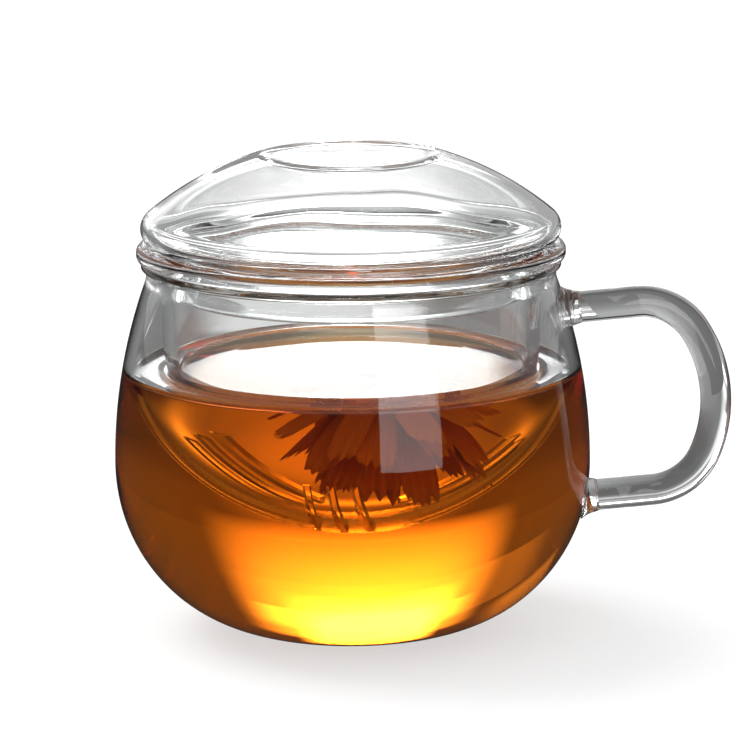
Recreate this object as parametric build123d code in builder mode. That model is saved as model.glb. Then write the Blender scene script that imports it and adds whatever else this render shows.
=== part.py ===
from build123d import *
from math import acos, asin, atan2, cos, degrees, radians, sin
import os

# A blown glass tea cup: bulbous body, fused rod handle, lift-out infuser and lift-off domed lid.
# All lengths are in millimetres. The cup stands on z = 0 with its axis on Z and its handle at +X.

# Cup body
belly_radius = 47.6
belly_height = 33.6
base_radius = 16.0
neck_radius = 41.1
rim_flare = 0.7
rim_flare_height = 4.5
cup_height = 74.6
cup_wall = 2.2
cup_floor = 4.0

# Infuser
infuser_gap = 1.4
infuser_wall = 2.0
infuser_depth = 51.8
flange_thickness = 3.0
flange_overhang = 0.9
flange_root_radius = 1.2

# Sawn slits, in groups of parallel cuts around the infuser's bowl
slit_width = 1.2
slit_pitch = 4.2
slit_height = 12.4
slit_start_radius = 9.0
slits_per_group = 3
slit_groups = 3
slit_turn = 262.0

# Lid
lid_inset = 0.9
lid_wall = 2.0
nose_inner_radius = 1.3
dome_rise = 17.2
dimple_radius = 17.0
dimple_depth = 3.2
crest_inner_radius = 3.0
skirt_gap = 1.9
skirt_length = 10.2
skirt_root_radius = 1.2

# Handle and its bosses
rod_radius = 3.1
handle_reach = 72.7
handle_drop = 8.0
handle_span = 38.6
handle_tilt = 5.0
handle_corner_radius = 12.5
handle_corner_turn = 62.0
boss_length = 2.6
boss_flare = 1.0

# Fire-polished edges, and the overrun of cuts past the surfaces they open
edge_round_share = 0.4
overrun = 5.0

# Heights and radii where the pieces seat on and in each other
neck_height = cup_height - rim_flare_height
rim_radius = neck_radius + rim_flare
infuser_radius = neck_radius - cup_wall - infuser_gap
infuser_bore = infuser_radius - infuser_wall
infuser_bottom = cup_height - infuser_depth
bowl_height = infuser_bottom + infuser_radius
flange_radius = rim_radius + flange_overhang
lid_seat = cup_height + flange_thickness
lid_radius = flange_radius - lid_inset
skirt_radius = infuser_bore - skirt_gap
skirt_bottom = lid_seat - skirt_length

# The dome is a ball's cap that meets the rounded nose of the lid's edge on a common tangent
nose_radius = nose_inner_radius + lid_wall
nose_x = lid_radius - nose_radius
nose_z = lid_seat + nose_radius
dome_radius = (nose_x**2 + dome_rise**2 - nose_radius**2) / (2 * (dome_rise - nose_radius))
dome_center = nose_z + dome_rise - dome_radius
nose_angle = degrees(atan2(nose_z - dome_center, nose_x))

# The thumb dimple is a shallow bowl pressed into the top of the dome
crest_angle = degrees(acos(dimple_radius / dome_radius))
crest_height = dome_center + dome_radius * sin(radians(crest_angle))
dimple_bowl_radius = (dimple_radius**2 + dimple_depth**2) / (2 * dimple_depth)
dimple_center = crest_height - dimple_depth + dimple_bowl_radius
dimple_sweep = degrees(asin(dimple_radius / dimple_bowl_radius))

# The handle hangs a set drop below the rim
# Its back is one gentle arc between two tighter corners, half a turn in all
handle_height = cup_height - handle_drop - handle_span / 2
back_turn = 180 - 2 * handle_corner_turn
corner_drop = handle_corner_radius * (1 - cos(radians(handle_corner_turn)))
corner_reach = handle_corner_radius * sin(radians(handle_corner_turn))
back_radius = (handle_span - 2 * corner_drop) / (2 * sin(radians(back_turn / 2)))
back_reach = back_radius * (1 - cos(radians(back_turn / 2)))


def bowl_side(inset, floor):
    """Draw the cup's half section from its floor up to its rim, inset from the outside."""
    belly = EllipticalCenterArc(
        (base_radius, belly_height),
        belly_radius - base_radius - inset,
        belly_height - floor,
        start_angle=-90,
        arc_size=90,
    )
    shoulder = TangentArc(belly @ 1, (neck_radius - inset, neck_height), tangent=(0, 1))
    flare = TangentArc(shoulder @ 1, (rim_radius - inset, cup_height), tangent=shoulder % 1)
    Polyline(flare @ 1, (0, cup_height), (0, floor), belly @ 0)


def infuser_side(radius, top):
    """Draw the infuser's half section: a round bowl under a straight neck."""
    bowl = CenterArc((0, bowl_height), radius, start_angle=-90, arc_size=90)
    Polyline(bowl @ 1, (radius, top), (0, top), bowl @ 0)


# The cup's outside, which also trims the bosses that are fused to it
with BuildPart() as cup_outside:
    with BuildSketch(Plane.XZ):
        with BuildLine():
            bowl_side(0, 0)
        make_face()
    revolve(axis=Axis.Z)

# Cup body
with BuildPart() as cup_body:
    add(cup_outside.part)
    with BuildSketch(Plane.XZ):
        with BuildLine():
            bowl_side(cup_wall, cup_floor)
        make_face()
    revolve(axis=Axis.Z, mode=Mode.SUBTRACT)
    rim_edges = cup_body.edges().group_by(Axis.Z)[-1]
    fillet(rim_edges, edge_round_share * cup_wall)
cup_body.part.label = "cup_body"

# Infuser
with BuildPart() as infuser:
    with BuildSketch(Plane.XZ):
        with BuildLine():
            infuser_side(infuser_radius, cup_height)
        make_face()
    revolve(axis=Axis.Z)
    with BuildSketch(Plane.XY.offset(cup_height)):
        Circle(flange_radius)
    extrude(amount=flange_thickness)
    flange_edges = infuser.edges().filter_by(GeomType.CIRCLE).sort_by(SortBy.RADIUS)[-2:]
    fillet(flange_edges, edge_round_share * flange_thickness)
    neck_root = infuser.edges().filter_by(GeomType.CIRCLE).filter_by_position(Axis.Z, cup_height, cup_height)
    fillet(neck_root.sort_by(SortBy.RADIUS)[0], flange_root_radius)
    with BuildSketch(Plane.XZ):
        with BuildLine():
            infuser_side(infuser_bore, lid_seat)
        make_face()
    revolve(axis=Axis.Z, mode=Mode.SUBTRACT)
    mouth_edge = infuser.edges().group_by(Axis.Z)[-1].sort_by(SortBy.RADIUS)[0]
    fillet(mouth_edge, edge_round_share * infuser_wall)
    slit_reach = infuser_radius - slit_start_radius + overrun
    with BuildSketch(Plane.XY.offset(infuser_bottom + slit_height)):
        with PolarLocations(0, slit_groups, start_angle=slit_turn):
            with Locations((slit_start_radius + slit_reach / 2, 0)):
                with GridLocations(0, slit_pitch, 1, slits_per_group):
                    Rectangle(slit_reach, slit_width)
    extrude(amount=-(slit_height + overrun), mode=Mode.SUBTRACT)
infuser.part.label = "infuser"

# Lid: one open line of even thickness, turned about the axis
with BuildPart() as lid:
    with BuildSketch(Plane.XZ):
        with BuildLine() as section:
            dimple = CenterArc((0, dimple_center), dimple_bowl_radius, -90, dimple_sweep)
            dome = CenterArc((0, dome_center), dome_radius, crest_angle, nose_angle - crest_angle)
            nose = CenterArc((nose_x, nose_z), nose_radius, nose_angle, -90 - nose_angle)
            shelf = Line(nose @ 1, (skirt_radius, lid_seat))
            Line(shelf @ 1, (skirt_radius, skirt_bottom))
            fillet(section.vertices().sort_by_distance(dome @ 0)[0], crest_inner_radius + lid_wall)
            fillet(section.vertices().sort_by_distance(shelf @ 1)[0], skirt_root_radius)
            offset(amount=-lid_wall, side=Side.RIGHT)
        make_face()
    revolve(axis=Axis.Z)
    skirt_edges = lid.edges().group_by(Axis.Z)[0]
    fillet(skirt_edges, edge_round_share * lid_wall)
lid.part.label = "lid"

# The plane of the handle: its origin is the outermost point of the back, and its arms lie along x
tilt = radians(handle_tilt)
handle_plane = Plane((handle_reach, 0, handle_height), x_dir=(cos(tilt), 0, sin(tilt)), z_dir=(0, -1, 0))


def boss_face(arm_height):
    """Give the outer face of a boss, square to the handle's arm at that height in its plane."""
    arm = Axis(handle_plane.from_local_coords((0, arm_height)), handle_plane.x_dir)
    wall_point = cup_outside.part.find_intersection_points(arm)[-1][0]
    return Plane(wall_point + handle_plane.x_dir * boss_length, z_dir=-handle_plane.x_dir)


def fused_boss(outer_face):
    """Make the flared gather of glass between the cup's wall and one end of the handle."""
    with BuildPart() as boss:
        with BuildSketch(outer_face):
            Circle(rod_radius)
        extrude(amount=boss_length + overrun, taper=-degrees(atan2(boss_flare, boss_length)))
        add(cup_outside.part, mode=Mode.SUBTRACT)
    return boss


upper_face = boss_face(handle_span / 2)
lower_face = boss_face(-handle_span / 2)

upper_handle_boss = fused_boss(upper_face)
upper_handle_boss.part.label = "upper_handle_boss"

lower_handle_boss = fused_boss(lower_face)
lower_handle_boss.part.label = "lower_handle_boss"

# Handle: a round rod swept along two arms, two corners and the back
with BuildLine() as handle_line:
    upper_end = handle_plane.to_local_coords(upper_face.origin)
    lower_end = handle_plane.to_local_coords(lower_face.origin)
    upper_arm = Line(upper_end, (-corner_reach - back_reach, handle_span / 2))
    upper_corner = JernArc(upper_arm @ 1, upper_arm % 1, handle_corner_radius, -handle_corner_turn)
    back = JernArc(upper_corner @ 1, upper_corner % 1, back_radius, -back_turn)
    lower_corner = JernArc(back @ 1, back % 1, handle_corner_radius, -handle_corner_turn)
    Line(lower_corner @ 1, lower_end)

with BuildPart() as handle:
    with BuildSketch(upper_face):
        Circle(rod_radius)
    sweep(path=handle_plane.from_local_coords(handle_line.line))
handle.part.label = "handle"

os.makedirs("parts", exist_ok=True)
for piece in (cup_body, upper_handle_boss, lower_handle_boss, handle, infuser, lid):
    export_step(piece.part, f"parts/{piece.part.label}.step")
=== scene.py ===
import bmesh
import bpy
import cmath
import math
import random
from mathutils import Matrix, Vector, noise


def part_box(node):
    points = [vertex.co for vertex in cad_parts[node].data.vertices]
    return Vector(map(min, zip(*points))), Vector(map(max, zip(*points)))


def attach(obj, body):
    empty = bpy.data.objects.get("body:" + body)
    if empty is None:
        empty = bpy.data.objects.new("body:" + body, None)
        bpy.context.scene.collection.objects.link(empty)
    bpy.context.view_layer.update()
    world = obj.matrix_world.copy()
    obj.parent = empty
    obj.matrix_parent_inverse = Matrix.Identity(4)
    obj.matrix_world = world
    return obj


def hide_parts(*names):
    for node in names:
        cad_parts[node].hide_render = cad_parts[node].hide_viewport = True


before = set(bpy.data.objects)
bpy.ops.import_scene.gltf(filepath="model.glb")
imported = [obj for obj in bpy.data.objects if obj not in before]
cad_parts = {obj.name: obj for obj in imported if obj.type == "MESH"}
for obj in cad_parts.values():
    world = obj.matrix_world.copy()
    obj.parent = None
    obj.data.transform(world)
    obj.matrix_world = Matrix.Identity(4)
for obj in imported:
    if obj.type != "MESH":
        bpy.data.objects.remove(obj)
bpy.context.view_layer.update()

# Cup body
# A bulbous cup blown from clear borosilicate glass, thick in the floor and thin in the wall.
# Its mouth is cut, flared a little and melted round in a flame.
MM = 0.001
cup_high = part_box("cup_body")[1]
belly_radius = cup_high.x
cup_height = cup_high.z
belly_height = 33.6 * MM
foot_radius = 16.0 * MM
neck_radius = 41.1 * MM
rim_flare = 0.7 * MM
rim_flare_height = 4.5 * MM
cup_wall = 2.2 * MM
cup_floor = 4.0 * MM
seat_gap = 0.05 * MM
blown_unevenness = 0.03 * MM
swell_size = 16.0 * MM
cup_seed = 3.0
on_axis = 0.01 * MM
spin_steps = 224
belly_steps = 60


def arc(center, start, turn, steps):
    """Points on a circle arc. A point is a complex number: distance from the axis and height."""
    return [center + (start - center) * cmath.rect(1, turn * step / steps) for step in range(steps + 1)]


def line(start, end, steps):
    """Evenly spaced points on a straight line, so that the glass can be uneven along it."""
    return [start + (end - start) * step / steps for step in range(steps + 1)]


def tangent_arc(start, heading, end, steps):
    """Points on the arc that leaves start along heading and reaches end, and the heading there."""
    lean = cmath.phase((end - start) / heading)
    center = start + 1j * heading * abs(end - start) / (2 * math.sin(lean))
    return arc(center, start, 2 * lean, steps), heading * cmath.rect(1, 2 * lean)


def cup_side(inset, floor):
    """The cup's side from its foot to its rim, inset from the outside."""
    belly = []
    for step in range(belly_steps + 1):
        angle = math.radians(-90 + 90 * step / belly_steps)
        reach = foot_radius + (belly_radius - foot_radius - inset) * math.cos(angle)
        belly.append(complex(reach, belly_height + (belly_height - floor) * math.sin(angle)))
    neck = complex(neck_radius - inset, cup_height - rim_flare_height)
    rim = complex(neck_radius + rim_flare - inset, cup_height)
    shoulder, heading = tangent_arc(belly[-1], 1j, neck, 40)
    flare = tangent_arc(neck, heading, rim, 12)[0]
    return belly + shoulder[1:] + flare[1:]


def made_piece(name, mesh):
    """Put a finished bmesh into the scene as an object."""
    data = bpy.data.meshes.new(name)
    mesh.to_mesh(data)
    mesh.free()
    piece = bpy.data.objects.new(name, data)
    bpy.context.scene.collection.objects.link(piece)
    return piece


def spun(name, outline, unevenness, seed):
    """Spin an outline that runs from axis to axis into a closed shell with a blown wall's unevenness."""
    mesh = bmesh.new()
    rings = []
    for point in outline:
        count = spin_steps if point.real > on_axis else 1
        ring = []
        for step in range(count):
            angle = 2 * math.pi * step / spin_steps
            ring.append(mesh.verts.new((point.real * math.cos(angle), point.real * math.sin(angle), point.imag)))
        rings.append(ring)
    for below, above in zip(rings, rings[1:]):
        for step in range(spin_steps):
            after = step + 1
            corners = [below[step % len(below)], below[after % len(below)]]
            corners += [above[after % len(above)], above[step % len(above)]]
            mesh.faces.new(list(dict.fromkeys(corners)))
    bmesh.ops.recalc_face_normals(mesh, faces=mesh.faces)
    mesh.normal_update()
    for vert in mesh.verts:
        swell = noise.noise(vert.co / swell_size + Vector((seed, 0, 0)))
        vert.co += vert.normal * unevenness * swell
    for face in mesh.faces:
        face.smooth = True
    return made_piece(name, mesh)


def linear(hex_colour):
    """Turn an sRGB hex colour into Blender's linear one."""
    channels = []
    for start in (1, 3, 5):
        value = int(hex_colour[start:start + 2], 16) / 255
        channels.append(value / 12.92 if value <= 0.04045 else ((value + 0.055) / 1.055) ** 2.4)
    return (*channels, 1.0)


def add_node(tree, kind, inputs=None, **settings):
    """Add a node, set its settings, and set or link its inputs."""
    node = tree.nodes.new(kind)
    for name, value in settings.items():
        setattr(node, name, value)
    for name, value in (inputs or {}).items():
        if isinstance(value, bpy.types.NodeSocket):
            tree.links.new(value, node.inputs[name])
        else:
            node.inputs[name].default_value = value
    return node


def empty_material(name):
    """Start a material with no nodes in it."""
    material = bpy.data.materials.new(name)
    material.use_nodes = True
    material.node_tree.nodes.clear()
    return material


# Borosilicate glass, blown and fire-polished: water-clear, with slow waves that make lines behind it wander.
# Its edges are greyed by painted shade in its colour where it is seen along the wall.
glass_ior = 1.47
blown_wave_size = 14.0 * MM
wave_height = 0.015 * MM


def clear_glass(name, ior, wave_size=blown_wave_size, wave_tint="#FAFCFC",
                edge_shade_from=0.72, edge_shade_to=0.98, edge_shade_colour="#6A6E70"):
    """Make clear glass with slow waves, whose colour turns to a painted edge shade where it is seen along its wall.
    """
    material = empty_material(name)
    tree = material.node_tree
    place = add_node(tree, "ShaderNodeTexCoord").outputs["Object"]
    waves = add_node(tree, "ShaderNodeTexNoise", {"Vector": place, "Scale": 1 / wave_size, "Detail": 1.0})
    wave_bump = add_node(tree, "ShaderNodeBump", {"Height": waves.outputs["Fac"], "Distance": wave_height})
    tint = add_node(tree, "ShaderNodeMix", {
        "Factor": waves.outputs["Fac"],
        "A": linear("#FEFEFE"),
        "B": linear(wave_tint),
    }, data_type="RGBA")
    # Painted shade: the colour goes to the edge shade colour where the surface is seen edge-on
    facing = add_node(tree, "ShaderNodeLayerWeight", {"Blend": 0.5})
    edge = add_node(tree, "ShaderNodeMapRange", {
        "Value": facing.outputs["Facing"],
        "From Min": edge_shade_from,
        "From Max": edge_shade_to,
    })
    edge_shaded = add_node(tree, "ShaderNodeMix", {
        "Factor": edge.outputs["Result"],
        "A": tint.outputs["Result"],
        "B": linear(edge_shade_colour),
    }, data_type="RGBA")
    surface = add_node(tree, "ShaderNodeBsdfPrincipled", {
        "Base Color": edge_shaded.outputs["Result"],
        "Roughness": 0.0,
        "IOR": ior,
        "Transmission Weight": 1.0,
        "Normal": wave_bump.outputs["Normal"],
    })
    add_node(tree, "ShaderNodeOutputMaterial", {"Surface": surface.outputs[0]})
    return material


blown_glass = clear_glass("borosilicate_glass_blown_fire_polished", glass_ior)

rim_round = cup_wall / 2
rim_middle = complex(neck_radius + rim_flare - rim_round, cup_height - seat_gap - rim_round)
cup_outside = [point for point in cup_side(0, 0) if point.imag < rim_middle.imag]
cup_inside = [point for point in cup_side(cup_wall, cup_floor) if point.imag < rim_middle.imag]
cup_outline = line(0j, cup_outside[0], 6)[:-1] + cup_outside
cup_outline += arc(rim_middle, rim_middle + rim_round, math.pi, 10)
cup_outline += cup_inside[::-1] + line(cup_inside[0], complex(0, cup_floor), 6)[1:]
cup_glass = spun("cup_glass", cup_outline, blown_unevenness, cup_seed)
cup_glass.data.materials.append(blown_glass)
cup_glass.visible_shadow = False
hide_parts("cup_body")
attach(cup_glass, "cup")

# Handle and its two bosses
# A solid borosilicate rod, bent in a flame and fused to the cup at two gathers of glass that flare onto the wall.
# The rod was drawn by hand, so its thickness wanders a little along its length.
rod_radius = 3.1 * MM
handle_reach = 72.7 * MM
handle_drop = 8.0 * MM
handle_span = 38.6 * MM
handle_tilt = math.radians(5.0)
corner_radius = 12.5 * MM
corner_turn = math.radians(62.0)
boss_length = 2.6 * MM
boss_sunk = 1.3 * MM
wall_flare = 1.25 * MM
joint_flare = 0.28 * MM
rod_sunk = 0.6 * MM
rod_swell_share = 0.012
rod_swell_step = 0.11
rod_seed = 5.0
rod_sides = 48
boss_steps = 14
arm_guess = 28.0 * MM

# The handle's own plane has its origin at the outermost point of the back and its arms along the real axis
arm_heading = cmath.rect(1, handle_tilt)
back_middle = complex(handle_reach, cup_height - handle_drop - handle_span / 2)
back_turn = math.pi - 2 * corner_turn
corner_drop = corner_radius * (1 - math.cos(corner_turn))
back_radius = (handle_span - 2 * corner_drop) / (2 * math.sin(back_turn / 2))
arm_reach = corner_radius * math.sin(corner_turn) + back_radius * (1 - math.cos(back_turn / 2))


def wall_point(side):
    """Where the upper (1) or lower (-1) arm of the handle meets the cup's outside, found step by step."""
    along = -arm_guess
    for _ in range(20):
        point = back_middle + arm_heading * complex(along, side * handle_span / 2)
        nearest = min(cup_outside, key=lambda wall: abs(wall.imag - point.imag))
        along += (nearest.real - point.real) * 0.7
    return point


def swept(name, rings):
    """Join rings, each a middle, its direction in the handle's plane and a radius, into a closed rod."""
    mesh = bmesh.new()
    loops = []
    for middle, across, radius in rings:
        loop = []
        for step in range(rod_sides):
            angle = 2 * math.pi * step / rod_sides
            point = middle + across * radius * math.cos(angle)
            loop.append(mesh.verts.new((point.real, radius * math.sin(angle), point.imag)))
        loops.append(loop)
    for before, after in zip(loops, loops[1:]):
        for step in range(rod_sides):
            following = (step + 1) % rod_sides
            mesh.faces.new((before[step], before[following], after[following], after[step]))
    for loop in (loops[0], loops[-1]):
        mesh.faces.new(loop)
    bmesh.ops.recalc_face_normals(mesh, faces=mesh.faces)
    for face in mesh.faces:
        face.smooth = len(face.verts) == 4
    return made_piece(name, mesh)


# Borosilicate glass, drawn rod: clear and thick, so it bends light like a lens, with short waves and painted edge
# shade.
rod_glass = clear_glass("borosilicate_glass_drawn_rod", glass_ior, wave_size=9.0 * MM, wave_tint="#F8FBFA",
                        edge_shade_from=0.55, edge_shade_to=0.95, edge_shade_colour="#5A5E60")

upper_wall = wall_point(1)
lower_wall = wall_point(-1)
upper_bend = back_middle + arm_heading * complex(-arm_reach, handle_span / 2)
upper_corner = arc(upper_bend - 1j * arm_heading * corner_radius, upper_bend, -corner_turn, 28)
corner_heading = arm_heading * cmath.rect(1, -corner_turn)
back = arc(upper_corner[-1] - 1j * corner_heading * back_radius, upper_corner[-1], -back_turn, 40)
lower_heading = corner_heading * cmath.rect(1, -back_turn)
lower_corner = arc(back[-1] - 1j * lower_heading * corner_radius, back[-1], -corner_turn, 28)
rod_start = upper_wall + arm_heading * (boss_length - rod_sunk)
rod_end = lower_wall + arm_heading * (boss_length - rod_sunk)
rod_path = line(rod_start, upper_bend, 20)[:-1] + upper_corner + back[1:] + lower_corner[1:]
rod_path += line(lower_corner[-1], rod_end, 20)[1:]
rod_rings = []
for number, middle in enumerate(rod_path):
    before = rod_path[max(number - 1, 0)]
    after = rod_path[min(number + 1, len(rod_path) - 1)]
    heading = (after - before) / abs(after - before)
    swell = 1 + rod_swell_share * noise.noise(Vector((number * rod_swell_step, 0, rod_seed)))
    rod_rings.append((middle, 1j * heading, rod_radius * swell))
handle_rod = swept("handle_rod", rod_rings)
handle_rod.data.materials.append(rod_glass)
handle_rod.visible_shadow = False
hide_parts("handle")
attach(handle_rod, "cup")

for node, wall in (("upper_handle_boss", upper_wall), ("lower_handle_boss", lower_wall)):
    boss_rings = []
    for step in range(boss_steps + 1):
        share = step / boss_steps
        out = -boss_sunk + (boss_length + boss_sunk) * share
        flare = wall_flare * (1 - share) ** 2.2 + joint_flare * (1 - share ** 8)
        boss_rings.append((wall + arm_heading * out, 1j * arm_heading, rod_radius + flare))
    boss = swept(node + "_glass", boss_rings)
    boss.data.materials.append(rod_glass)
    boss.visible_shadow = False
    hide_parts(node)
    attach(boss, "cup")

# Tea
# Steeped black tea that fills the cup to the infuser's shoulder. It wets the glass, so it stands a little higher
# against the walls of the cup and the infuser than between them, and it bites into the cup to leave no air gap.
tea_level = 52.0 * MM
tea_bite = 0.12 * MM
level_margin = 0.02 * MM
meniscus_rise = 1.7 * MM
meniscus_reach = 1.5 * MM
ring_rise_share = 0.35
ring_reach_share = 0.5
infuser_radius = 37.5 * MM
infuser_wall = 2.0 * MM
infuser_bore = infuser_radius - infuser_wall
tea_top_steps = 140

# Black tea, clear: water that takes the blue out of light and much of the green, so it goes from yellow where it
# is thin to red-brown where it is deep. Only its open surface bends light: its sides lie in the wall of the glass.
tea_ior = 1.333
stir_size = 22.0 * MM
stir_height = 0.01 * MM
tea_liquor = empty_material("black_tea_clear")
tree = tea_liquor.node_tree
place = add_node(tree, "ShaderNodeTexCoord").outputs["Object"]
stir = add_node(tree, "ShaderNodeTexNoise", {"Vector": place, "Scale": 1 / stir_size, "Detail": 1.0})
stir_bump = add_node(tree, "ShaderNodeBump", {"Height": stir.outputs["Fac"], "Distance": stir_height})
world_place = add_node(tree, "ShaderNodeNewGeometry").outputs["Position"]
height = add_node(tree, "ShaderNodeSeparateXYZ", {"Vector": world_place}).outputs["Z"]
on_top = add_node(tree, "ShaderNodeMath", {0: height, 1: tea_level - level_margin}, operation="GREATER_THAN")
ior_by_height = add_node(tree, "ShaderNodeMapRange", {"Value": on_top.outputs[0], "To Min": 1.0, "To Max": tea_ior})
tea_surface = add_node(tree, "ShaderNodeBsdfPrincipled", {
    "Base Color": linear("#FFFFFF"),
    "Roughness": 0.0,
    "IOR": ior_by_height.outputs["Result"],
    "Transmission Weight": 1.0,
    "Normal": stir_bump.outputs["Normal"],
})
tea_body = add_node(tree, "ShaderNodeVolumeAbsorption", {"Color": linear("#F9D86C"), "Density": 79.5})
add_node(tree, "ShaderNodeOutputMaterial", {"Surface": tea_surface.outputs[0], "Volume": tea_body.outputs[0]})

tea_side = cup_side(cup_wall - tea_bite, cup_floor - tea_bite)
tea_side = [point for point in tea_side if point.imag < tea_level + meniscus_rise]
tea_edge = tea_side[-1]
tea_top = []
for step in range(1, tea_top_steps + 1):
    reach = tea_edge.real * (1 - step / tea_top_steps)
    rise = (tea_edge.imag - tea_level) * math.exp(-(tea_edge.real - reach) / meniscus_reach)
    if reach > infuser_radius - infuser_wall / 2:
        off_wall = max(0.0, reach - infuser_radius)
        rise += ring_rise_share * meniscus_rise * math.exp(-off_wall / (ring_reach_share * meniscus_reach))
    else:
        off_wall = max(0.0, infuser_bore - reach)
        rise += meniscus_rise * math.exp(-off_wall / meniscus_reach)
    tea_top.append(complex(reach, tea_level + rise))
tea_outline = line(complex(0, cup_floor - tea_bite), tea_side[0], 6)[:-1] + tea_side + tea_top
tea = spun("tea", tea_outline, 0.0, 0.0)
tea.data.materials.append(tea_liquor)
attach(tea, "cup")

# Where the tea wets the inside of the cup, the glass meets water instead of air and bends light far less
wet_glass_ior = glass_ior / tea_ior
# Painted shade: a tan-brown over most of the wet wall, strongest where it is seen at a slant, so that the tea's
# sides look deeper
wet_glass = clear_glass("borosilicate_glass_blown_wet_with_tea", wet_glass_ior,
                        edge_shade_from=0.15, edge_shade_to=0.6, edge_shade_colour="#C4A484")
cup_glass.data.materials.append(wet_glass)
for face in cup_glass.data.polygons:
    from_middle = face.center - Vector((0, 0, belly_height))
    if face.normal.dot(from_middle) < 0 and face.center.z < tea_level:
        face.material_index = 1

# Infuser
# A strainer blown from borosilicate glass: a round bowl under a straight neck, with a pressed flange that rests on
# the cup's rim and slits sawn low in the bowl.
infuser_low, infuser_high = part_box("infuser")
infuser_bottom = infuser_low.z
flange_radius = infuser_high.x
lid_seat = infuser_high.z
bowl_height = infuser_bottom + infuser_radius
flange_round = 1.2 * MM
mouth_round = 0.8 * MM
infuser_seed = 11.0
slit_width = 1.2 * MM
slit_pitch = 4.2 * MM
slit_height = 12.4 * MM
slit_start = 9.0 * MM
slit_turn = math.radians(262.0)
slit_groups = 3
sharp_edge = math.radians(35)

# The same blown glass, but where it is under the tea its surface bends light far less, as glass in water does.
infuser_glass = clear_glass("borosilicate_glass_blown_part_in_tea", glass_ior)
tree = infuser_glass.node_tree
world_place = add_node(tree, "ShaderNodeNewGeometry").outputs["Position"]
height = add_node(tree, "ShaderNodeSeparateXYZ", {"Vector": world_place}).outputs["Z"]
out_of_tea = add_node(tree, "ShaderNodeMath", {0: height, 1: tea_level}, operation="GREATER_THAN")
ior_by_height = add_node(tree, "ShaderNodeMapRange", {
    "Value": out_of_tea.outputs[0],
    "To Min": wet_glass_ior,
    "To Max": glass_ior,
})
tree.links.new(ior_by_height.outputs["Result"], tree.nodes["Principled BSDF"].inputs["IOR"])

# Borosilicate glass, sawn: the slits are cut with a wet diamond wheel, which leaves their sides grey and matt.
# They stay under the tea, so they bend light little.
sawn_ior = 1.045
grit_size = 0.5 * MM
grit_height = 0.05 * MM
sawn_glass = empty_material("borosilicate_glass_sawn")
tree = sawn_glass.node_tree
place = add_node(tree, "ShaderNodeTexCoord").outputs["Object"]
grit = add_node(tree, "ShaderNodeTexNoise", {"Vector": place, "Scale": 1 / grit_size, "Detail": 3.0})
grit_bump = add_node(tree, "ShaderNodeBump", {"Height": grit.outputs["Fac"], "Distance": grit_height})
tint = add_node(tree, "ShaderNodeMix", {
    "Factor": grit.outputs["Fac"],
    "A": linear("#ECEEE8"),
    "B": linear("#D8DCD2"),
}, data_type="RGBA")
sawn_surface = add_node(tree, "ShaderNodeBsdfPrincipled", {
    "Base Color": tint.outputs["Result"],
    "Roughness": 0.15,
    "IOR": sawn_ior,
    "Transmission Weight": 1.0,
    "Normal": grit_bump.outputs["Normal"],
})
add_node(tree, "ShaderNodeOutputMaterial", {"Surface": sawn_surface.outputs[0]})

flange_under = cup_height + seat_gap
flange_top = lid_seat - seat_gap
bowl_middle = complex(0, bowl_height)
neck_root = complex(infuser_radius + flange_round, flange_under - flange_round)
flange_low = complex(flange_radius - flange_round, flange_under + flange_round)
flange_edge = complex(flange_radius - flange_round, flange_top - flange_round)
mouth = complex(infuser_bore + mouth_round, flange_top - mouth_round)
quarter = math.pi / 2
infuser_outline = arc(bowl_middle, complex(0, infuser_bottom), quarter, 80)
infuser_outline += line(infuser_outline[-1], neck_root - flange_round, 16)[1:]
infuser_outline += arc(neck_root, neck_root - flange_round, -quarter, 8)[1:]
infuser_outline += arc(flange_low, flange_low - 1j * flange_round, quarter, 8)
infuser_outline += arc(flange_edge, flange_edge + flange_round, quarter, 8)
infuser_outline += arc(mouth, mouth + 1j * mouth_round, quarter, 8)
infuser_outline += line(mouth - mouth_round, complex(infuser_bore, bowl_height), 20)[1:]
infuser_outline += arc(bowl_middle, complex(infuser_bore, bowl_height), -quarter, 80)[1:]
infuser = spun("infuser_glass", infuser_outline, blown_unevenness, infuser_seed)

# The saw cuts are boxes taken out of the bowl, three side by side in each group
slit_reach = infuser_radius - slit_start
slit_top = infuser_bottom + slit_height
saw_cuts = bmesh.new()
for group in range(slit_groups):
    turn = Matrix.Rotation(slit_turn + group * 2 * math.pi / slit_groups, 4, "Z")
    for number in (-1, 0, 1):
        middle = Vector((slit_start + slit_reach / 2, number * slit_pitch, slit_top / 2))
        place = turn @ Matrix.Translation(middle) @ Matrix.Diagonal((slit_reach, slit_width, slit_top, 1))
        bmesh.ops.create_cube(saw_cuts, size=1.0, matrix=place)
for face in saw_cuts.faces:
    face.material_index = 1
saw = made_piece("saw", saw_cuts)
for piece in (infuser, saw):
    piece.data.materials.append(infuser_glass)
    piece.data.materials.append(sawn_glass)
sawing = infuser.modifiers.new("sawing", "BOOLEAN")
sawing.operation = "DIFFERENCE"
sawing.solver = "EXACT"
sawing.object = saw
sawn = bpy.data.meshes.new_from_object(infuser.evaluated_get(bpy.context.evaluated_depsgraph_get()))
infuser.modifiers.clear()
infuser.data = sawn
sawn.set_sharp_from_angle(angle=sharp_edge)
bpy.data.objects.remove(saw)
infuser.visible_shadow = False
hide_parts("infuser")
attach(infuser, "infuser")

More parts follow.
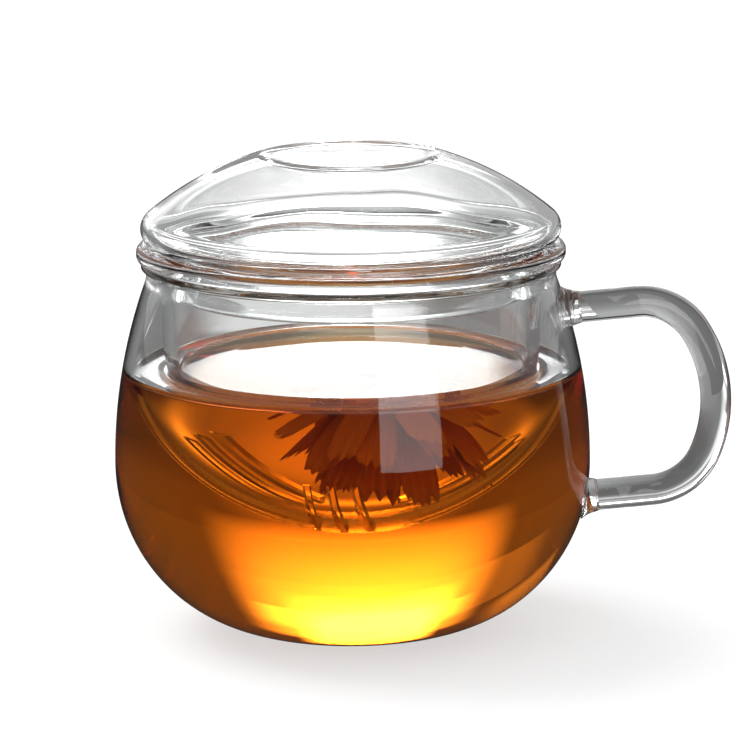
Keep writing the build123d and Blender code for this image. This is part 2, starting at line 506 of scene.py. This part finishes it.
# Blossom
# A dried orange flower head that has opened in the hot tea. It floats with its calyx up, so its strap petals, each
# with a toothed tip, hang down towards the infuser's bowl.
blossom_middle = Vector((5.0 * MM, 0.0, 48.2 * MM))
calyx_radius = 4.2 * MM
calyx_half_height = 2.5 * MM
calyx_unevenness = 0.5 * MM
calyx_seed = 23.0
calyx_steps = 14
petal_width = 6.6 * MM
petal_length = 20.0 * MM
petal_thickness = 0.22 * MM
petal_root = 0.6 * calyx_radius
root_width_share = 0.3

# Each whorl has its count of petals, their droop in degrees and their length
whorls = ((9, -19.0, 18.5 * MM), (10, -37.0, 19.5 * MM), (11, -57.0, 21.5 * MM), (6, -74.0, 20.4 * MM))
drawing = random.Random(7)

# Flower petal, soaked: thin, veined along its length, orange at the tip and browner towards the calyx.
# The veins are drawn about half a millimetre wide, coarser than real ones, so that they show.
vein_width = 0.508 * MM
vein_length = 14.3 * MM
vein_height = 0.15 * MM
petal_skin = empty_material("flower_petal_soaked")
tree = petal_skin.node_tree
petal_place = add_node(tree, "ShaderNodeUVMap").outputs[0]
along = add_node(tree, "ShaderNodeSeparateXYZ", {"Vector": petal_place})
vein_scale = (petal_width / vein_width, petal_length / vein_length, 1.0)
stretched = add_node(tree, "ShaderNodeMapping", {"Vector": petal_place, "Scale": vein_scale})
vein = add_node(tree, "ShaderNodeTexNoise", {"Vector": stretched.outputs[0], "Scale": 1.0, "Detail": 2.0})
fade = add_node(tree, "ShaderNodeValToRGB", {"Fac": along.outputs["Y"]})
fade.color_ramp.elements[0].color = linear("#8A4A10")
fade.color_ramp.elements[1].color = linear("#F2A830")
fade.color_ramp.elements.new(0.45).color = linear("#E08A22")
veined = add_node(tree, "ShaderNodeMix", {
    "Factor": vein.outputs["Fac"],
    "A": fade.outputs["Color"],
    "B": linear("#C89A80"),
}, data_type="RGBA", blend_type="MULTIPLY")
vein_bump = add_node(tree, "ShaderNodeBump", {"Height": vein.outputs["Fac"], "Distance": vein_height})
petal_surface = add_node(tree, "ShaderNodeBsdfPrincipled", {
    "Base Color": veined.outputs["Result"],
    "Roughness": 0.55,
    "Normal": vein_bump.outputs["Normal"],
})
add_node(tree, "ShaderNodeOutputMaterial", {"Surface": petal_surface.outputs[0]})

# Calyx, soaked: the green-brown cup of sepals that the petals grow from, mottled and a little lumpy.
mottle_size = 1.5 * MM
mottle_height = 0.2 * MM
calyx_skin = empty_material("flower_calyx_soaked")
tree = calyx_skin.node_tree
place = add_node(tree, "ShaderNodeTexCoord").outputs["Object"]
mottle = add_node(tree, "ShaderNodeTexNoise", {"Vector": place, "Scale": 1 / mottle_size, "Detail": 3.0})
tint = add_node(tree, "ShaderNodeMix", {
    "Factor": mottle.outputs["Fac"],
    "A": linear("#5A4A1C"),
    "B": linear("#3A2A10"),
}, data_type="RGBA")
mottle_bump = add_node(tree, "ShaderNodeBump", {"Height": mottle.outputs["Fac"], "Distance": mottle_height})
calyx_surface = add_node(tree, "ShaderNodeBsdfPrincipled", {
    "Base Color": tint.outputs["Result"],
    "Roughness": 0.7,
    "Normal": mottle_bump.outputs["Normal"],
})
add_node(tree, "ShaderNodeOutputMaterial", {"Surface": calyx_surface.outputs[0]})


def add_petal(mesh, uv_layer, turn, droop, length, width):
    """Add one strap petal as a closed thin sheet, from the calyx out to its toothed tip."""
    columns = 24
    rows = 10
    bend = math.radians(drawing.uniform(-30, 6))
    cup = drawing.uniform(-0.10, 0.30)
    twist = math.radians(drawing.uniform(-16, 16))
    teeth = drawing.choice((3, 4, 5))
    notches = [drawing.uniform(0.03, 0.13) for _ in range(teeth + 1)]
    tip_slant = drawing.uniform(-0.06, 0.06)
    turning = Matrix.Rotation(turn, 3, "Z")
    sheets = []
    for side in (1, -1):
        sheet = []
        for row in range(rows + 1):
            share = row / rows
            lean = droop + bend * share * share
            reach = petal_root + length * share * math.cos(droop + bend * share / 3)
            drop = length * share * math.sin(droop + bend * share / 3)
            widening = math.sin(math.pi / 2 * min(1.0, 1.25 * share + 0.08))
            half = width / 2 * (root_width_share + (1 - root_width_share) * widening)
            half_thick = side * petal_thickness / 2 * (1 - 0.8 * share ** 8)
            verts = []
            for column in range(columns + 1):
                across = -1 + 2 * column / columns
                tooth = (across + 1) / 2 * teeth
                gap = round(tooth)
                notch = notches[gap] * (1 - 2 * abs(tooth - gap)) + tip_slant * across
                cut = 1 - (notch + 0.05 * across * across) * share ** 5
                sag = cup * half * across * across + half_thick
                x = reach * cut - sag * math.sin(lean)
                y = half * across * math.cos(twist * share)
                z = drop * cut + sag * math.cos(lean) + math.sin(twist) * half * across * share
                verts.append(mesh.verts.new(blossom_middle + turning @ Vector((x, y, z))))
            sheet.append(verts)
        sheets.append(sheet)

    def add_face(corners, places):
        face = mesh.faces.new(corners)
        face.smooth = True
        for loop, place in zip(face.loops, places):
            loop[uv_layer].uv = place

    for row in range(rows):
        for column in range(columns):
            corners = ((row, column), (row, column + 1), (row + 1, column + 1), (row + 1, column))
            places = [(across / columns, out / rows) for out, across in corners]
            for sheet in sheets:
                add_face([sheet[out][across] for out, across in corners], places)
    rim = [(0, column) for column in range(columns + 1)]
    rim += [(row, columns) for row in range(1, rows + 1)]
    rim += [(rows, column) for column in range(columns - 1, -1, -1)]
    rim += [(row, 0) for row in range(rows - 1, 0, -1)]
    top, bottom = ([sheet[out][across] for out, across in rim] for sheet in sheets)
    for step in range(len(rim)):
        after = (step + 1) % len(rim)
        add_face((top[step], top[after], bottom[after], bottom[step]), ((0.5, 1.0),) * 4)


petals = bmesh.new()
petal_uv = petals.loops.layers.uv.new("UVMap")
for count, droop, length in whorls:
    shift = drawing.uniform(0, 1)
    for number in range(count):
        turn = 2 * math.pi * (number + shift + drawing.uniform(-0.22, 0.22)) / count
        add_petal(petals, petal_uv, turn, math.radians(droop + drawing.uniform(-9, 9)),
                  length * drawing.uniform(0.86, 1.06), petal_width * drawing.uniform(0.85, 1.15))
bmesh.ops.recalc_face_normals(petals, faces=petals.faces)
blossom = made_piece("blossom_petals", petals)
blossom.data.materials.append(petal_skin)
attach(blossom, "infuser")

calyx_outline = []
for step in range(calyx_steps + 1):
    angle = -math.pi / 2 + math.pi * step / calyx_steps
    rise = calyx_half_height * math.sin(angle)
    calyx_outline.append(complex(calyx_radius * math.cos(angle), blossom_middle.z + rise))
calyx_outline[0] = complex(0, calyx_outline[0].imag)
calyx_outline[-1] = complex(0, calyx_outline[-1].imag)
calyx = spun("blossom_calyx", calyx_outline, calyx_unevenness, calyx_seed)
for vert in calyx.data.vertices:
    vert.co.x += blossom_middle.x
    vert.co.y += blossom_middle.y
calyx.data.materials.append(calyx_skin)
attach(calyx, "infuser")

# Lid
# A hollow dome blown from borosilicate glass, pressed in at the top for the thumb. Its rim is folded under to a flat
# shelf, and its open skirt plugs into the infuser's neck.
lid_low, lid_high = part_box("lid")
lid_radius = lid_high.x
lid_wall = 2.0 * MM
nose_radius = 3.3 * MM
dome_rise = 17.2 * MM
dimple_radius = 17.0 * MM
dimple_depth = 3.2 * MM
crest_radius = 5.0 * MM
skirt_radius = 33.6 * MM
skirt_round = 1.2 * MM
skirt_bottom = lid_low.z
lid_shelf = lid_seat + seat_gap
lid_unevenness = 0.07 * MM
lid_seed = 31.0

# The dome is a ball's cap that runs into the rounded nose of the rim on a common tangent
nose = complex(lid_radius - nose_radius, lid_shelf + nose_radius)
dome_radius = (nose.real**2 + dome_rise**2 - nose_radius**2) / (2 * (dome_rise - nose_radius))
dome_middle = complex(0, nose.imag + dome_rise - dome_radius)
crest_height = dome_middle.imag + math.sqrt(dome_radius**2 - dimple_radius**2)
dimple_bowl = (dimple_radius**2 + dimple_depth**2) / (2 * dimple_depth)
dimple_middle = complex(0, crest_height - dimple_depth + dimple_bowl)

# The crest between dimple and dome is a small circle that touches both
inner_reach = dome_radius - crest_radius
outer_reach = dimple_bowl + crest_radius
apart = dimple_middle.imag - dome_middle.imag
crest_rise = (inner_reach**2 - outer_reach**2 + apart**2) / (2 * apart)
crest = dome_middle + complex(math.sqrt(inner_reach**2 - crest_rise**2), crest_rise)
dimple_edge = dimple_middle + (crest - dimple_middle) * dimple_bowl / outer_reach
dome_start = dome_middle + (crest - dome_middle) * dome_radius / inner_reach
dome_end = nose + (nose - dome_middle) / abs(nose - dome_middle) * nose_radius


def turn_between(center, start, end):
    """The signed angle from start to end about a center."""
    return cmath.phase((end - center) / (start - center))


def lid_line(inset):
    """The lid's section from the middle of its dimple to its skirt, inset from the outside."""
    points = []
    bowl = dimple_bowl + inset
    dimple_start = dimple_middle - 1j * bowl
    dimple_end = dimple_middle + (dimple_edge - dimple_middle) * bowl / dimple_bowl
    points += arc(dimple_middle, dimple_start, turn_between(dimple_middle, dimple_start, dimple_end), 30)
    small = (crest_radius - inset) / crest_radius
    crest_start = crest + (dimple_edge - crest) * small
    crest_end = crest + (dome_start - crest) * small
    points += arc(crest, crest_start, turn_between(crest, crest_start, crest_end), 16)[1:]
    cap = (dome_radius - inset) / dome_radius
    cap_start = dome_middle + (dome_start - dome_middle) * cap
    cap_end = dome_middle + (dome_end - dome_middle) * cap
    points += arc(dome_middle, cap_start, turn_between(dome_middle, cap_start, cap_end), 50)[1:]
    nose_end = nose - 1j * (nose_radius - inset)
    points += arc(nose, cap_end, turn_between(nose, cap_end, nose_end), 24)[1:]
    root = complex(skirt_radius + skirt_round, lid_shelf - skirt_round)
    root_start = root + 1j * (skirt_round + inset)
    points += line(nose_end, root_start, 4)[1:]
    points += arc(root, root_start, math.pi / 2, 8)[1:]
    points += line(points[-1], complex(points[-1].real, skirt_bottom + lid_wall / 2), 12)[1:]
    return points


lid_outside = lid_line(0.0)
lid_inside = lid_line(lid_wall)
skirt_end = (lid_outside[-1] + lid_inside[-1]) / 2
lid_outline = lid_outside + arc(skirt_end, lid_outside[-1], -math.pi, 10)[1:-1] + lid_inside[::-1]
lid_outline[0] = complex(0, lid_outline[0].imag)
lid_outline[-1] = complex(0, lid_outline[-1].imag)
lid = spun("lid_glass", lid_outline, lid_unevenness, lid_seed)
lid.data.materials.append(blown_glass)
lid.visible_shadow = False
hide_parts("lid")
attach(lid, "lid")

# Floor and studio
# A white paper sweep in a pale room, lit softly from all round. Soft panels and grey cards stand close behind the
# cup: the camera doesn't see them, and they show only through the glass and the tea. Lengths here are in metres.
floor_half = 8.0
floor_mesh = bmesh.new()
bmesh.ops.create_grid(floor_mesh, x_segments=1, y_segments=1, size=floor_half)
floor = made_piece("floor", floor_mesh)


def set_stops(ramp, stops):
    """Give a grey ramp its stops, each a place along it and how bright it is there."""
    for element, (place, share) in zip(ramp.elements, (stops[0], stops[-1])):
        element.position = place
        element.color = (share, share, share, 1.0)
    for place, share in stops[1:-1]:
        ramp.elements.new(place).color = (share, share, share, 1.0)


# White paper, matt: plain white to the eye. Through glass it shows painted light instead: it glows grey by its
# distance from the cup and the way that it lies, with a painted bright streak straight behind the cup, and in a
# shine it shows as a near-black painted reflection.
# Painted light and shade: how brightly the floor glows through glass, close round the cup and along the streak
near_stops = ((0.05, 0.45), (0.085, 0.12), (0.17, 0.14), (0.24, 0.26))
streak_stops = ((0.07, 0.05), (0.1, 0.06), (0.115, 0.07), (0.126, 0.2), (0.138, 0.8), (0.146, 0.22), (0.152, 0.11),
                (0.162, 0.11), (0.17, 0.23), (0.185, 0.23), (0.2, 0.13), (0.44, 0.14), (0.8, 0.11))
streak_shift = 0.01
bleach_share = 0.6
floor_paper = empty_material("white_paper_with_painted_light")
tree = floor_paper.node_tree
rays = add_node(tree, "ShaderNodeLightPath")
floor_place = add_node(tree, "ShaderNodeNewGeometry").outputs["Position"]
floor_far = add_node(tree, "ShaderNodeVectorMath", {0: floor_place}, operation="LENGTH").outputs["Value"]
floor_way = add_node(tree, "ShaderNodeVectorMath", {0: floor_place}, operation="NORMALIZE").outputs["Vector"]
floor_ways = add_node(tree, "ShaderNodeSeparateXYZ", {"Vector": floor_way})
around = add_node(tree, "ShaderNodeMapRange", {
    "Value": floor_ways.outputs["Y"],
    "From Min": 0.1,
    "From Max": 0.85,
    "To Min": 0.6,
    "To Max": 0.28,
}, interpolation_type="SMOOTHSTEP")
near = add_node(tree, "ShaderNodeValToRGB", {"Fac": floor_far})
set_stops(near.color_ramp, near_stops)
far_share = add_node(tree, "ShaderNodeMapRange", {"Value": floor_far, "From Min": 0.22, "From Max": 0.4})
base = add_node(tree, "ShaderNodeMix", {
    "Factor": far_share.outputs[0],
    "A": near.outputs["Color"],
    "B": around.outputs[0],
}, data_type="FLOAT")
off_middle = add_node(tree, "ShaderNodeMath", {0: floor_ways.outputs["X"], 1: streak_shift}, operation="SUBTRACT")
sideways = add_node(tree, "ShaderNodeMath", {0: off_middle.outputs[0]}, operation="ABSOLUTE")
streak_way = add_node(tree, "ShaderNodeMapRange", {
    "Value": sideways.outputs[0],
    "From Min": 0.03,
    "From Max": 0.21,
    "To Min": 5.2,
    "To Max": 0.0,
}, interpolation_type="SMOOTHSTEP")
behind = add_node(tree, "ShaderNodeMath", {0: floor_ways.outputs["Y"], 1: 0.0}, operation="GREATER_THAN")
streak_back = add_node(tree, "ShaderNodeMath", {
    0: streak_way.outputs[0],
    1: behind.outputs[0],
}, operation="MULTIPLY")
streak_far = add_node(tree, "ShaderNodeValToRGB", {"Fac": floor_far})
set_stops(streak_far.color_ramp, streak_stops)
streak = add_node(tree, "ShaderNodeMath", {
    0: streak_back.outputs[0],
    1: streak_far.outputs["Color"],
}, operation="MULTIPLY")
painted_floor_light = add_node(tree, "ShaderNodeMath", {0: base.outputs[0], 1: streak.outputs[0]}, operation="ADD")
# Painted light: the floor glows at these levels for rays that come through glass
glow = add_node(tree, "ShaderNodeEmission", {"Color": linear("#FFFFFF"), "Strength": painted_floor_light.outputs[0]})
# Painted reflection: in a shine the floor shows as a near-black glow
painted_dark_shine = add_node(tree, "ShaderNodeEmission", {"Color": linear("#FFFFFF"), "Strength": 0.03})
white = add_node(tree, "ShaderNodeEmission", {"Color": linear("#FFFFFF"), "Strength": 1.0})
paper = add_node(tree, "ShaderNodeBsdfDiffuse", {"Color": linear("#F4F4F4")})
bleach = add_node(tree, "ShaderNodeMath", {0: rays.outputs["Is Camera Ray"], 1: bleach_share}, operation="MULTIPLY")
sweep = add_node(tree, "ShaderNodeMixShader", {0: bleach.outputs[0], 1: paper.outputs[0], 2: white.outputs[0]})
mirrored = add_node(tree, "ShaderNodeMixShader", {
    0: rays.outputs["Is Glossy Ray"],
    1: sweep.outputs[0],
    2: painted_dark_shine.outputs[0],
})
floor_mix = add_node(tree, "ShaderNodeMixShader", {
    0: rays.outputs["Is Transmission Ray"],
    1: mirrored.outputs[0],
    2: glow.outputs[0],
})
add_node(tree, "ShaderNodeOutputMaterial", {"Surface": floor_mix.outputs[0]})
floor.data.materials.append(floor_paper)


def card(name, middle, facing, width, height, strength):
    """Stand a lit white card in the studio, turned to face a point."""
    mesh = bmesh.new()
    bmesh.ops.create_grid(mesh, x_segments=1, y_segments=1, size=0.5)
    piece = made_piece(name, mesh)
    piece.scale = (width, height, 1.0)
    piece.location = middle
    piece.rotation_euler = (Vector(facing) - Vector(middle)).to_track_quat("Z", "Y").to_euler()
    material = empty_material(name)
    light = add_node(material.node_tree, "ShaderNodeEmission", {"Color": linear("#FFFFFF"), "Strength": strength})
    add_node(material.node_tree, "ShaderNodeOutputMaterial", {"Surface": light.outputs[0]})
    piece.data.materials.append(material)
    piece.visible_camera = False
    piece.visible_diffuse = False
    piece.visible_shadow = False
    return piece


def panel(name, middle, width, height, soft_from, soft_to, strength, heights, sides=0.0, clear=True):
    """Stand a soft-sided panel behind the cup, as bright at each height as given. A clear one hides nothing."""
    piece = card(name, middle, (middle[0], 0.0, middle[2]), width, height, strength)
    piece.visible_glossy = False
    tree = piece.data.materials[0].node_tree
    place = add_node(tree, "ShaderNodeTexCoord").outputs["Generated"]
    places = add_node(tree, "ShaderNodeSeparateXYZ", {"Vector": place})
    across = add_node(tree, "ShaderNodeMath", {0: places.outputs["X"], 1: 0.5}, operation="SUBTRACT")
    off_middle = add_node(tree, "ShaderNodeMath", {0: across.outputs[0]}, operation="ABSOLUTE")
    soft = add_node(tree, "ShaderNodeMapRange", {
        "Value": off_middle.outputs[0],
        "From Min": soft_from / width,
        "From Max": soft_to / width,
        "To Min": strength - sides,
        "To Max": 0.0,
    }, interpolation_type="SMOOTHSTEP")
    rise = add_node(tree, "ShaderNodeValToRGB", {"Fac": places.outputs["Y"]})
    bottom = middle[2] - height / 2
    set_stops(rise.color_ramp, [((up - bottom) / height, share) for up, share in heights])
    light = add_node(tree, "ShaderNodeMath", {
        0: soft.outputs[0],
        1: rise.outputs["Color"],
        2: sides,
    }, operation="MULTIPLY_ADD")
    emission = tree.nodes["Emission"]
    tree.links.new(light.outputs[0], emission.inputs["Strength"])
    if clear:
        film = add_node(tree, "ShaderNodeBsdfTransparent")
        both = add_node(tree, "ShaderNodeAddShader", {0: film.outputs[0], 1: emission.outputs[0]})
        tree.links.new(both.outputs[0], tree.nodes["Material Output"].inputs["Surface"])


# The window of light on the front of the glass
card("softbox_window", middle=(0.135, -0.272, 0.129), facing=(0, 0, 0.129), width=0.152, height=0.218, strength=2.8)

# The glow low in the tea: the round cup turns these two over, so their upper part shows at the bottom
panel("tea_light", middle=(-0.004, 0.16, 0.0447), width=0.076, height=0.0676, soft_from=0.0, soft_to=0.035,
      strength=15.0,
      heights=((0.011, 0.0), (0.015, 0.2), (0.025, 0.4), (0.05, 0.75), (0.0675, 0.75), (0.0725, 0.0)))
panel("glow_core", middle=(-0.003, 0.12, 0.0455), width=0.024, height=0.037, soft_from=0.0, soft_to=0.0105,
      strength=60.0, heights=((0.027, 0.0), (0.033, 0.35), (0.04, 1.0), (0.058, 1.0), (0.064, 0.0)))

# The pale light on the tea's surface, from far behind and from the left
panel("surface_light", middle=(-0.02, 0.6, 0.17), width=0.37, height=0.13, soft_from=0.115, soft_to=0.18,
      strength=4.5, heights=((0.1615, 0.0), (0.1635, 1.0), (0.21, 1.0), (0.235, 0.0)))
panel("side_light", middle=(-0.125, 0.22, 0.12), width=0.13, height=0.075, soft_from=0.03, soft_to=0.065,
      strength=1.1, heights=((0.083, 0.0), (0.092, 1.0), (0.145, 1.0), (0.157, 0.0)))

# The greys of the neck above the tea, of the lid and of the handle
panel("neck_card", middle=(-0.014, 0.072, 0.0488), width=0.112, height=0.0146, soft_from=0.014, soft_to=0.038,
      strength=0.95, heights=((0.0415, 0.0), (0.0448, 0.0), (0.0465, 0.9), (0.0561, 1.0)), sides=0.2, clear=False)
panel("lid_light", middle=(-0.05, 0.3, 0.08), width=0.28, height=0.06, soft_from=0.07, soft_to=0.14,
      strength=0.45, heights=((0.05, 1.0), (0.11, 1.0)))
panel("handle_card", middle=(0.0645, 0.032, 0.06), width=0.031, height=0.04, soft_from=0.02, soft_to=0.03,
      strength=0.46, heights=((0.04, 0.35), (0.055, 0.4), (0.062, 0.6), (0.07, 1.0), (0.08, 1.0)), clear=False)

# The room through glass: grey behind the cup and paler round the front, a dark strip high up and a white ceiling
strip_stops = ((0.5, 1.0), (0.54, 0.1), (0.64, 0.1), (0.68, 1.0))
ceiling_light = 0.9
mirror_light = 0.04
world = bpy.data.worlds.new("studio")
bpy.context.scene.world = world
world.use_nodes = True
tree = world.node_tree
tree.nodes.clear()
rays = add_node(tree, "ShaderNodeLightPath")
look = add_node(tree, "ShaderNodeTexCoord").outputs["Generated"]
looks = add_node(tree, "ShaderNodeSeparateXYZ", {"Vector": look})
level_look = add_node(tree, "ShaderNodeVectorMath", {0: look, 1: (1.0, 1.0, 0.0)}, operation="MULTIPLY")
level_way = add_node(tree, "ShaderNodeVectorMath", {0: level_look.outputs[0]}, operation="NORMALIZE")
level_ways = add_node(tree, "ShaderNodeSeparateXYZ", {"Vector": level_way.outputs[0]})
around = add_node(tree, "ShaderNodeMapRange", {
    "Value": level_ways.outputs["Y"],
    "From Min": 0.1,
    "From Max": 0.85,
    "To Min": 0.6,
    "To Max": 0.33,
}, interpolation_type="SMOOTHSTEP")
strip = add_node(tree, "ShaderNodeValToRGB", {"Fac": looks.outputs["Z"]})
set_stops(strip.color_ramp, strip_stops)
walls = add_node(tree, "ShaderNodeMath", {0: around.outputs[0], 1: strip.outputs["Color"]}, operation="MULTIPLY")
overhead = add_node(tree, "ShaderNodeMapRange", {
    "Value": looks.outputs["Z"],
    "From Min": 0.66,
    "From Max": 0.85,
}, interpolation_type="SMOOTHSTEP")
room = add_node(tree, "ShaderNodeMix", {
    "Factor": overhead.outputs[0],
    "A": walls.outputs[0],
    "B": ceiling_light,
}, data_type="FLOAT")

# The room in a shine: dark, apart from the back wall
mirror_back = add_node(tree, "ShaderNodeMapRange", {
    "Value": looks.outputs["Y"],
    "From Min": 0.3,
    "From Max": 0.8,
    "To Min": mirror_light,
    "To Max": 0.6,
}, interpolation_type="SMOOTHSTEP")
mirror_up = add_node(tree, "ShaderNodeMath", {0: looks.outputs["Z"], 1: 0.0}, operation="GREATER_THAN")
mirror = add_node(tree, "ShaderNodeMix", {
    "Factor": mirror_up.outputs[0],
    "A": mirror_light,
    "B": mirror_back.outputs[0],
}, data_type="FLOAT")

# The floor and the blossom are lit by plain white light, and the camera sees plain white
through = add_node(tree, "ShaderNodeMix", {
    "Factor": rays.outputs["Is Transmission Ray"],
    "A": mirror.outputs[0],
    "B": room.outputs[0],
}, data_type="FLOAT")
studio = add_node(tree, "ShaderNodeBackground", {"Color": linear("#FFFFFF"), "Strength": through.outputs[0]})
plain = add_node(tree, "ShaderNodeBackground", {"Color": linear("#FFFFFF"), "Strength": 1.0})
lit = add_node(tree, "ShaderNodeMixShader", {
    0: rays.outputs["Is Diffuse Ray"],
    1: studio.outputs[0],
    2: plain.outputs[0],
})
seen = add_node(tree, "ShaderNodeMixShader", {
    0: rays.outputs["Is Camera Ray"],
    1: lit.outputs[0],
    2: plain.outputs[0],
})
add_node(tree, "ShaderNodeOutputWorld", {"Surface": seen.outputs[0]})

# The key light stands high at the back left and gives the floor its soft shadow
key_aim = Vector((0.0, 0.0, 0.05))
key_light = bpy.data.lights.new("key_light", "AREA")
key_light.shape = "RECTANGLE"
key_light.size = 0.7
key_light.size_y = 0.5
key_light.energy = 9.0
key = bpy.data.objects.new("key_light", key_light)
key.location = (-0.5, 0.35, 0.9)
key.rotation_euler = (key_aim - key.location).to_track_quat("-Z", "Y").to_euler()
key.visible_glossy = False
key.visible_transmission = False
bpy.context.scene.collection.objects.link(key)

# Camera
# It stands at a table's edge and looks a little down on the cup, with a long lens.
# Light passes many walls of glass on its way to it, so it may bend and mirror many times.
camera_aim = Vector((4.6 * MM, 0.0, 50.7 * MM))
camera_distance = 0.9
camera_rise = math.radians(11.6)
camera_roll = math.radians(0.4)
camera_data = bpy.data.cameras.new("camera")
camera_data.lens = 216.0
camera_data.sensor_width = 36.0
camera_data.clip_end = 30.0
camera = bpy.data.objects.new("camera", camera_data)
camera.location = camera_aim + camera_distance * Vector((0.0, -math.cos(camera_rise), math.sin(camera_rise)))
camera_turn = (camera_aim - camera.location).to_track_quat("-Z", "Y").to_matrix()
camera.rotation_euler = (camera_turn @ Matrix.Rotation(-camera_roll, 3, "Z")).to_euler()
scene = bpy.context.scene
scene.collection.objects.link(camera)
scene.camera = camera
scene.view_settings.view_transform = "Standard"
scene.cycles.max_bounces = 32
scene.cycles.transmission_bounces = 32
scene.cycles.glossy_bounces = 16
